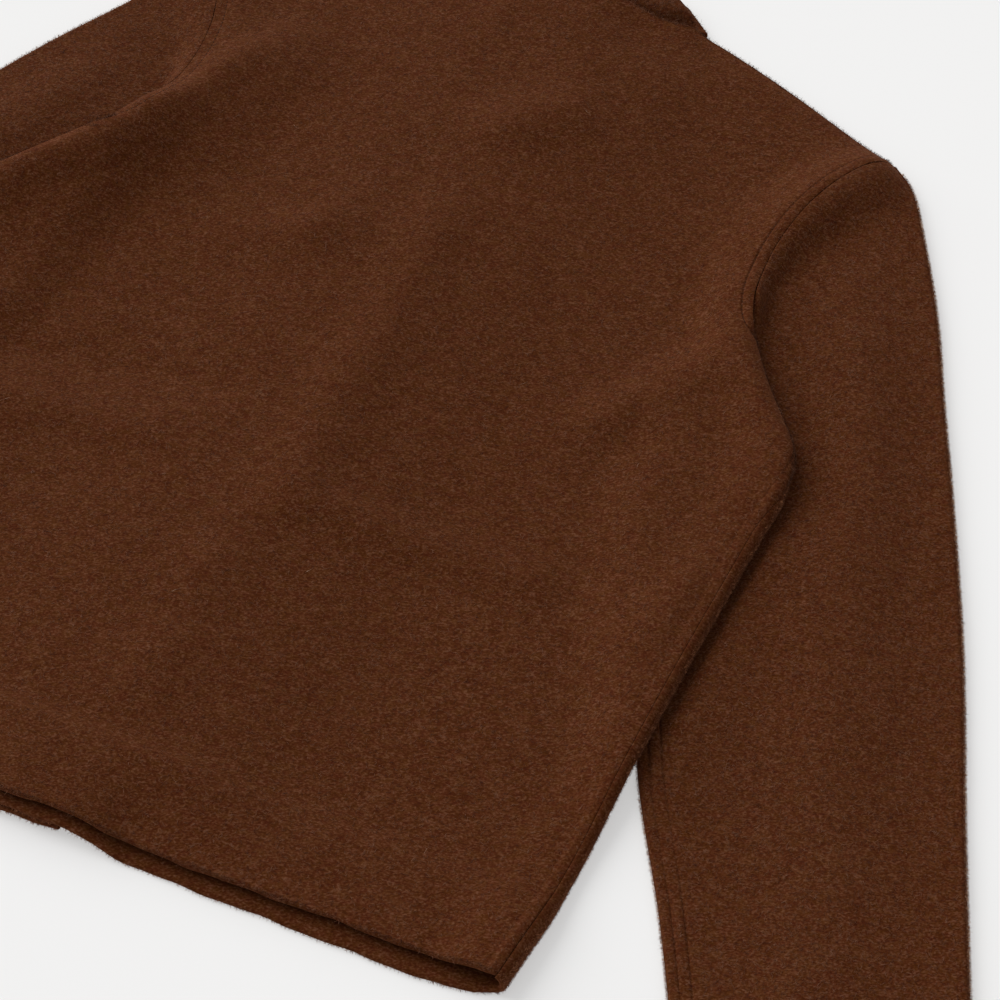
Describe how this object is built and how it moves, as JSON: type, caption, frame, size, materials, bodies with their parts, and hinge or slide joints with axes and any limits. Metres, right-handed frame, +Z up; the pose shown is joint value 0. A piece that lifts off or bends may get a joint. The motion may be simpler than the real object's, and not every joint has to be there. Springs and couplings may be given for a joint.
{
  "type": "uniform jacket laid flat",
  "caption": "Boxy wool jacket laid face down: one-piece back, buttoned fronts, set-in sleeves swung down beside the body, and a band collar.",
  "frame": {"origin": "middle of the garment's flat underside, on the surface it lies on", "axes": "+X to the wearer's right side, +Y to the collar, +Z up out of the back"},
  "size_m": [1.0146, 0.7796, 0.0315],
  "materials": {
    "wool": "boiled wool, brushed nap, matt",
    "button": "satin horn-like plastic"
  },
  "bodies": {
    "root": {"back": "wool", "right_front": "wool", "left_front": "wool", "right_sleeve": "wool", "left_sleeve": "wool", "collar": "wool", "button_1": "button", "button_2": "button", "button_3": "button", "button_4": "button", "button_5": "button"}
  },
  "joints": []
}
